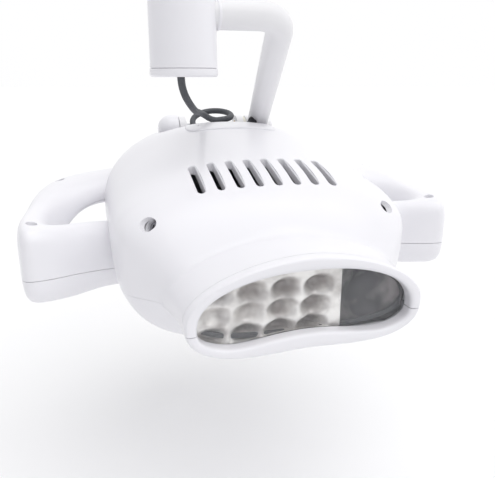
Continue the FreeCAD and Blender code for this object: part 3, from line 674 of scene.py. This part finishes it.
def window_reach(angle, grow=0.0):
    """The kidney-shaped window's edge, measured like the form's outline from the pole line."""
    half, middle = WINDOW_HALF + grow, WINDOW_MIDDLE_Z
    bottom, top = WINDOW_Z[0] - grow, WINDOW_Z[1] + grow
    c, s = np.cos(angle), np.sin(angle)
    low, high = np.zeros_like(angle), np.full_like(angle, 120.0)
    for _ in range(30):
        mid = (low + high) / 2
        x, z = mid * c, POLE_Z + mid * s
        raised = WINDOW_DENT * np.clip(1 - (x / DENT_HALF) ** 2, 0, 1) ** 1.5
        above = z >= middle
        reach = np.where(above, top - middle, middle - bottom - raised)
        power = np.where(above, 2.2, 3.0)
        inside = (np.abs(x) / half) ** power + (np.abs(z - middle) / reach) ** power < 1
        low, high = np.where(inside, mid, low), np.where(inside, high, mid)
    return low


# Across the frame from its outer edge (0) to the window (1), and its depth from front to back.
BEZEL_PROFILE = [(0.16, -105), (0.16, -112.2), (0.1, BEZEL_BACK), (0.01, BEZEL_BACK), (0.0, -112.8),
                 (0.0, -116.2), (0.02, -117.7), (0.07, -118.9), (0.16, -119.7), (0.3, -120),
                 (0.62, -120), (0.8, -119.7), (0.92, -119.0), (0.985, -117.8), (1.0, -116.4),
                 (1.0, -111.6), (0.6, -111.4), (0.6, -105)]


def window_frame():
    angle = window_angles()
    outer, inner = form_reach(MOUTH_Y, angle), window_reach(angle)
    rings = [polar_ring(outer + (inner - outer) * share, y, angle) for share, y in BEZEL_PROFILE]
    points = [p for ring in rings for p in ring]
    ring = from_lists("window_frame", points, grid_faces(len(rings), WINDOW_STEPS, True), 45)
    upper, lower = split_at_seam(ring, ("window_frame_upper", "window_frame_lower"), 0.0, FRAME_GAP)
    finish_piece(upper, WHITE, "head", "white", "front_bezel")
    finish_piece(lower, WHITE, "head", "white")


def window_pane():
    """The clear cover, slightly domed."""
    angle = window_angles()
    edge = window_reach(angle, PANE_LAP)
    shares = (0.02, 0.25, 0.5, 0.75, 0.92, 1.0)
    rings = []
    for back, order in ((0, shares), (PANE_THICK, shares[::-1])):
        for share in order:
            y = PANE_Y + back - PANE_DOME * (1 - share ** 2)
            rings.append(polar_ring(edge * share, y, angle))
    pane = tube_of("window_pane", rings, True, 50)
    finish_piece(pane, WINDOW, "head", "clear", "lens_cover")


CUP_COLUMNS, CUP_ROWS = (-57.6, -35.9, -14.2, 7.5), (19.0, 5.5, -8.0)
CUP_SHARES = (0.5, 0.72, 0.92, 1.0)      # the columns deepen to the right
CUP_HALF = (12.0, 8.4)
RIM_Y, CUP_DEPTH = -109.0, 12.0
REFLECTOR_EDGE_X = 25.0
SHEET_HALF, SHEET_Z = 69.8, (-16, 34)


def reflector_depth(x, z):
    """How far back the silvered cups lie at (x, z): soft bowls that run into each other."""
    y = np.full_like(x, RIM_Y)
    for cx, share in zip(CUP_COLUMNS, CUP_SHARES):
        for cz in CUP_ROWS:
            skewed = x - cx - 0.16 * (z - CUP_ROWS[1])
            away = (skewed / CUP_HALF[0]) ** 2 + ((z - cz) / CUP_HALF[1]) ** 2
            y = y + CUP_DEPTH * share * np.clip(1 - away, 0, 1) ** 1.7
    return y


def bay_depth(x, z):
    """The plain dark bay: a shallow trough that comes forward at its edges."""
    across = np.clip((x - REFLECTOR_EDGE_X) / (70 - REFLECTOR_EDGE_X), 0, 1)
    return RIM_Y + 19 * np.sin(np.pi * across) ** 0.7 * np.clip(1 - ((z - 9) / 26) ** 2, 0, 1) ** 0.6


def sheet_in_window(name, low_x, high_x, depth, step=1.1):
    """A curved sheet behind the window between two upright edges."""
    low_z, high_z = SHEET_Z
    columns, rows = int((high_x - low_x) / step), int((high_z - low_z) / step)
    grid_x, grid_z = np.meshgrid(np.linspace(low_x, high_x, columns), np.linspace(low_z, high_z, rows))
    grid_y = depth(grid_x, grid_z)
    round_edge = np.linspace(0, 2 * np.pi, 721)
    turn = np.arctan2(grid_z - POLE_Z, grid_x) % (2 * np.pi)
    limit = np.interp(turn, round_edge, window_reach(round_edge, 1.0))
    far = np.hypot(grid_x, grid_z - POLE_Z)
    squeeze = np.minimum(1, limit / np.maximum(far, 1e-6))
    grid_z = POLE_Z + (grid_z - POLE_Z) * squeeze
    grid_x = np.clip(grid_x * np.where(squeeze < 1, squeeze, 1), low_x, high_x)
    points = list(zip(grid_x.ravel(), grid_y.ravel(), grid_z.ravel()))
    return from_lists(name, points, grid_faces(rows, columns, False, False), 60)


def optics():
    cups = sheet_in_window("silvered_cups", -SHEET_HALF, REFLECTOR_EDGE_X, reflector_depth)
    finish_piece(cups, SILVER, "head", "mirror", "reflector_array")
    bay = sheet_in_window("dark_bay", REFLECTOR_EDGE_X + 0.3, SHEET_HALF, bay_depth)
    finish_piece(bay, DARK_BAY_SILVER, "head", "mirror")


# ---- grab handles -------------------------------------------------------------------------

# Plan of the right grip, from its front root round to its rear root: outer x, y, inner x, y and
# how square the section is on its outside.
GRIP = [(96, 13, 96, 42, 2.3), (113, 11.5, 113, 40.2, 2.3), (125, 8.6, 124, 37.6, 2.3),
        (138, 2.4, 135, 33, 2.4), (149, -4.5, 143.5, 28.2, 2.6), (159, -9.4, 149, 26, 3.0),
        (168, -11, 152, 27, 3.6), (174, -6.5, 153, 30, 4.0), (177.4, 7, 153, 35, 4.0),
        (178.3, 24, 152, 41, 3.4), (176, 46, 148, 50, 2.9), (170.5, 72, 143, 57.5, 2.6),
        (161.5, 97, 134, 67, 2.5), (147, 114, 127, 72, 2.5), (133, 120.4, 120.5, 75.3, 2.5),
        (118, 123.3, 113, 77.6, 2.5), (96, 124, 96, 80, 2.5)]
GRIP_INNER_POWER = 2.0          # its inside, round the fingers, is a soft curve
# Side view: y, top at the head, top at the outer edge, underside, seam.
GRIP_SIDE = [(-20, 25, 43, -14, 5), (0, 26.2, 44.4, -17.5, 2), (15, 28, 45, -19, 0.2),
             (30, 32.5, 46, -13.5, 3.4), (45, 38, 48, -2, 11), (62, 49.5, 50.6, 18.5, 30),
             (80, 60, 53, 31.5, 42), (105, 64, 55.7, 37, 46.5), (130, 66, 58, 38, 48.5)]
GRIP_HEAD_X, GRIP_EDGE_X = 95.0, 180.0
GRIP_GAP = 0.4
GRIP_SCREWS = [(149, 96, 56.5), (166, 8, 42.0)]


def grip_heights(x, y):
    head, edge, under, seam = (through(GRIP_SIDE, k, y) for k in (1, 2, 3, 4))
    share = (x - GRIP_HEAD_X) / (GRIP_EDGE_X - GRIP_HEAD_X)
    return head + (edge - head) * share, under, seam


def grip_ring(station, upper, side, steps=30):
    """One closed ring of a grip half: round its outside, then back along the seam."""
    outer, inner, outer_power = np.array(station[:2]), np.array(station[2:4]), station[4]
    starts = []
    for u, point in ((1, outer), (-1, inner)):
        top, under, seam = grip_heights(*point)
        level = 2 * (seam + (GRIP_GAP if upper else -GRIP_GAP) / 2 - under) / (top - under) - 1
        level = min(max(level, -0.97), 0.97)
        power = outer_power if u > 0 else GRIP_INNER_POWER
        starts.append(math.asin(math.copysign(abs(level) ** (power / 2), level)))
    first, last = starts[0] + (0 if upper else 2 * math.pi), math.pi - starts[1]
    ring = []
    for k in range(steps + 1):
        t = first + (last - first) * k / steps
        c, s = math.cos(t), math.sin(t)
        power = outer_power if c > 0 else GRIP_INNER_POWER
        u = math.copysign(abs(c) ** (2 / power), c)
        w = math.copysign(abs(s) ** (2 / power), s)
        x, y = (outer + inner) / 2 + (outer - inner) / 2 * u
        top, under, _ = grip_heights(x, y)
        ring.append((side * x, y, under + (w + 1) / 2 * (top - under)))
    return ring


def grips():
    keys = list(range(len(GRIP)))
    table = [(k, *row) for k, row in enumerate(GRIP)]
    places = np.linspace(0, keys[-1], 97)
    stations = np.array([through(table, k, places) for k in range(1, 6)]).T
    for side, side_name in ((1, "right"), (-1, "left")):
        for upper, half in ((True, "upper"), (False, "lower")):
            rings = [grip_ring(station, upper, side) for station in stations]
            grip = tube_of(f"grip_{side_name}_{half}", rings, True, 50)
            if upper:
                for x, y, z in GRIP_SCREWS:
                    boolean(grip, capsule("recess", (side * x, y, z - 6), (0, 0, 1), 3.9, 6.3, 0.6))
                shade(grip, 50)
            finish_piece(grip, WHITE, "head", "white", f"handle_{side_name}_{half}")


# ---- hinge cover --------------------------------------------------------------------------

COVER_X, COVER_Y, COVER_LIFT, COVER_CORNER = (-38, 45), (72, 94.5), 1.6, 8


def rounded_outline(middle, half, radius, straight=(12, 4)):
    """Points round a rectangle with rounded corners, its long and short sides cut into straight steps."""
    arcs = []
    for turn, (sx, sy) in enumerate(((1, 1), (-1, 1), (-1, -1), (1, -1))):
        x, y = middle[0] + sx * (half[0] - radius), middle[1] + sy * (half[1] - radius)
        angles = [math.pi / 2 * (turn + k / 8) for k in range(9)]
        arcs.append([(x + radius * math.cos(t), y + radius * math.sin(t)) for t in angles])
    points = []
    for turn, arc in enumerate(arcs):
        (x0, y0), (x1, y1) = arc[-1], arcs[(turn + 1) % 4][0]
        steps = straight[turn % 2]
        points += arc
        points += [(x0 + (x1 - x0) * k / steps, y0 + (y1 - y0) * k / steps) for k in range(1, steps)]
    return points


def hinge_cover(tree):
    """A low pad that follows the brow, with rounded corners and a softened edge."""
    middle = sum(COVER_X) / 2, sum(COVER_Y) / 2
    half = (COVER_X[1] - COVER_X[0]) / 2, (COVER_Y[1] - COVER_Y[0]) / 2
    rings = []
    for inset, lift in ((0, -1.5), (0, 0.5), (0.25, 1.05), (0.8, 1.45), (1.6, COVER_LIFT),
                        (4, COVER_LIFT), (8, COVER_LIFT), (12, COVER_LIFT)):
        size, corner = (half[0] - inset, half[1] - inset), max(COVER_CORNER - inset, 0.5)
        outline = rounded_outline(middle, size, corner)
        rings.append([(x, y, skin_height(tree, x, y) + lift) for x, y in outline])
    pad = tube_of("hinge_pad", rings, True, 50)
    finish_piece(pad, WHITE, "head", "white", "hinge_cover")


# ---- power cable --------------------------------------------------------------------------

CABLE_DIAMETER = 0.0055
LOOP_CENTRE, LOOP_RADIUS = Vector((-5, 124.5, 104)), 19.0
LOOP_LEAN, LOOP_RISE = math.radians(20), 15.7
LOOP_START, LOOP_TURN, LOOP_POINTS = -63.5, 329, 13
CABLE_LEAD = [(-54.2, 3, 149.5), (-54, 3.1, 142.5), (-53, 5.1, 136.3), (-50.5, 8.9, 130.5),
              (-47.3, 14.2, 126), (-43.8, 21.2, 122.3), (-39.7, 32.1, 119), (-33.5, 54, 115.8),
              (-27.5, 75, 114.3), (-20.8, 93.2, 111.8), (-8.9, 102, 104.7)]
LOOP_END = Vector((8.6, 105.6, 91.6))
NECK_ENTRY, ENTRY_WAY = Vector((39.6, 112, 109.33)), Vector((-0.75, -0.377, -0.541))


def cable_route():
    """The lead from the housing, one leaning loop in the hinge pocket, and the tail into the neck."""
    turn = []
    for i in range(LOOP_POINTS):
        share = i / (LOOP_POINTS - 1)
        angle = math.radians(LOOP_START + share * LOOP_TURN)
        rise = (0.5 - share) * LOOP_RISE
        up = math.sin(angle) * LOOP_RADIUS
        turn.append(LOOP_CENTRE + Vector((math.cos(angle) * LOOP_RADIUS,
                                          up * math.cos(LOOP_LEAN) - rise * math.sin(LOOP_LEAN),
                                          up * math.sin(LOOP_LEAN) + rise * math.cos(LOOP_LEAN))))
    tail = [LOOP_END, NECK_ENTRY + ENTRY_WAY * 24, NECK_ENTRY + ENTRY_WAY * 5]
    return [Vector(p) for p in CABLE_LEAD] + turn + tail


def power_cable():
    """The route as a smooth spline, then a tube along it."""
    curve = bpy.data.curves.new("route", "CURVE")
    curve.dimensions = "3D"
    curve.resolution_u = 14
    spline = curve.splines.new("NURBS")
    route = cable_route()
    spline.points.add(len(route) - 1)
    for point, place in zip(spline.points, route):
        point.co = (*at(*place), 1)
    spline.order_u = 3
    spline.use_endpoint_u = True
    guide = new_object("route", curve)
    line = bpy.data.meshes.new_from_object(guide)
    path = [v.co.copy() for v in line.vertices]
    bpy.data.objects.remove(guide)
    radii = [CABLE_DIAMETER * 1000 / 2] * len(path)
    cable = pipe("supply_cable", [p * 1000 + ORIGIN for p in path], radii, 24)
    cable.data.materials.append(SLEEVE)
    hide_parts("power_cable")
    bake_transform(cable)


# ---- housing, neck and hinge --------------------------------------------------------------

NECK_LINE = (2.0, 186.0)            # y and z of the neck's upper run, parallel to X
NECK_RADIUS, FOOT_TAPER = 10.6, 0.7
NECK_FOOT_STEPS = 6
BASE_FACE_Z = 143.5
CABLE_HOLE = (-54.1, 3.1)           # x and y, through the housing's base


def housing():
    x, y = HOUSING_AXIS
    wall = [(0, 20.9), (0, 23.3), (0.2, 23.7), (0.5, 23.9), (83.9, 23.1), (85.3, 22.7), (86.3, 21.9),
            (86.7, 20.9), (86.7, 13.6), (83, 13.6), (83, 20.9)]
    shell = ring_lathe("housing_wall", wall, (x, y, 149.3), (0, 0, 1), 128)
    boolean(shell, lathe("hole", [(0, 10.7), (60, 10.7)], (x, *NECK_LINE), (1, 0, 0)))
    shade(shell, 32)
    finish_piece(shell, WHITE, "housing", "white", "housing_shell")
    base = [(0, 17.8), (0, 22.4), (0.25, 23.4), (0.8, 24.0), (1.6, 24.3), (5.2, 24.2), (5.5, 24.0),
            (5.6, 23.6), (5.6, 20.7), (10.5, 20.7), (10.5, 18), (3, 18), (3, 0.2), (0.0, 0.2)]
    cap = ring_lathe("housing_cap", base, (x, y, BASE_FACE_Z), (0, 0, 1), 128)
    boolean(cap, lathe("hole", [(0, 4.25), (30, 4.25)], (*CABLE_HOLE, 130), (0, 0, 1), 40))
    for side in (-1, 1):
        boolean(cap, lathe("hole", [(0, 3.5), (12.2, 3.3)], (x + side * 14, y, 133.7), (0, 0, 1), 32))
    shade(cap, 32)
    finish_piece(cap, WHITE, "housing", "white", "housing_base")
    grommet = [(0.0, 3.2), (0.0, 3.8), (0.4, 4.15), (4.4, 4.15), (4.4, 3.2)]
    bushing = ring_lathe("cable_bushing", grommet, (*CABLE_HOLE, BASE_FACE_Z), (0, 0, 1), 40)
    finish_piece(bushing, RUBBER, "housing", "rubber", "base_grommet")


def neck_path(steps=14):
    """The neck's centre line: along X, round the bend, down to the hinge."""
    start, corner = Vector((-50.3, *NECK_LINE)), Vector((22.5, *NECK_LINE))
    foot = Vector((43, *TILT_LINE))
    into, away = Vector((1, 0, 0)), (foot - corner).normalized()
    turn = into.angle(away)
    radius = 21.0
    reach = radius * math.tan(turn / 2)
    centre = corner + (away - into).normalized() * (radius / math.cos(turn / 2))
    first = corner - into * reach - centre
    axis = into.cross(away).normalized()
    path = [start, start + into * 20, start + into * 40]
    path += [centre + Matrix.Rotation(turn * k / steps, 3, axis) @ first for k in range(steps + 1)]
    end = foot - away * 2
    last = path[-1]
    return path + [last + (end - last) * k / NECK_FOOT_STEPS for k in range(1, NECK_FOOT_STEPS + 1)]


def neck():
    path = neck_path()
    radii = [NECK_RADIUS] * (len(path) - NECK_FOOT_STEPS)
    radii += [NECK_RADIUS - FOOT_TAPER * (k + 1) / NECK_FOOT_STEPS for k in range(NECK_FOOT_STEPS)]
    finish_piece(pipe("neck_pipe", path, radii), POWDER, "neck", "painted", "neck_tube")
    rim = [(0, 9.9), (0, 11.1), (1.2, 11.2), (1.7, 11.05), (2.0, 10.7), (2.0, 9.9)]
    collar = ring_lathe("neck_ring", rim, (HOUSING_AXIS[0] + 24.1, *NECK_LINE), (1, 0, 0))
    finish_piece(collar, WHITE, "neck", "white", "neck_collar")
    barrel = [(0, 11.2), (0.3, 12.3), (1.2, 12.9), (2, 13), (24, 13), (24.8, 12.9), (25.7, 12.3),
              (26, 11.2)]
    hub = lathe("neck_knuckle", barrel, (30, *TILT_LINE), (1, 0, 0), 96)
    finish_piece(hub, POWDER, "neck", "painted", "neck_hub")
    button = [(0, 9.3), (0.9, 9.4), (1.3, 9.1), (1.6, 8.2), (1.6, 5), (1.2, 4.4), (1.2, 0.3)]
    plug = lathe("knuckle_plug", button, (56, *TILT_LINE), (1, 0, 0), 64)
    finish_piece(plug, WHITE, "neck", "white", "hub_plug")
    quarter = [math.pi / 2 * k / 14 for k in range(15)]
    dome = [(0.0, 0.3)] + [(13 - 13 * math.cos(t), 3.5 + 11 * math.sin(t)) for t in quarter]
    dome += [(18.2, 14.5), (18.6, 14.3), (18.8, 13.9), (18.8, 11.7), (6, 11.7), (5.6, 0.3)]
    cap = lathe("hinge_cap", dome, (-56, *TILT_LINE), (1, 0, 0), 96)
    finish_piece(cap, WHITE, "neck", "white", "end_cap")
    sleeve = [(0, 2.7), (0, 4.1), (4.4, 4.1)]
    for k in range(4):
        sleeve += [(4.5 + k * 0.85, 3.3 - k * 0.1), (5.0 + k * 0.85, 4.0 - k * 0.22)]
    sleeve += [(8.0, 3.1), (8.0, 2.7)]
    relief = ring_lathe("strain_relief", sleeve, NECK_ENTRY + ENTRY_WAY * 6.6, ENTRY_WAY, 40, 50)
    finish_piece(relief, RUBBER, "neck", "rubber", "neck_grommet")


# ---- build --------------------------------------------------------------------------------

camera()
studio()
paint_cad()
power_cable()
skin = head_shells()
vent_walls(skin)
screw_sockets()
window_frame()
window_pane()
optics()
grips()
hinge_cover(skin)
housing()
neck()
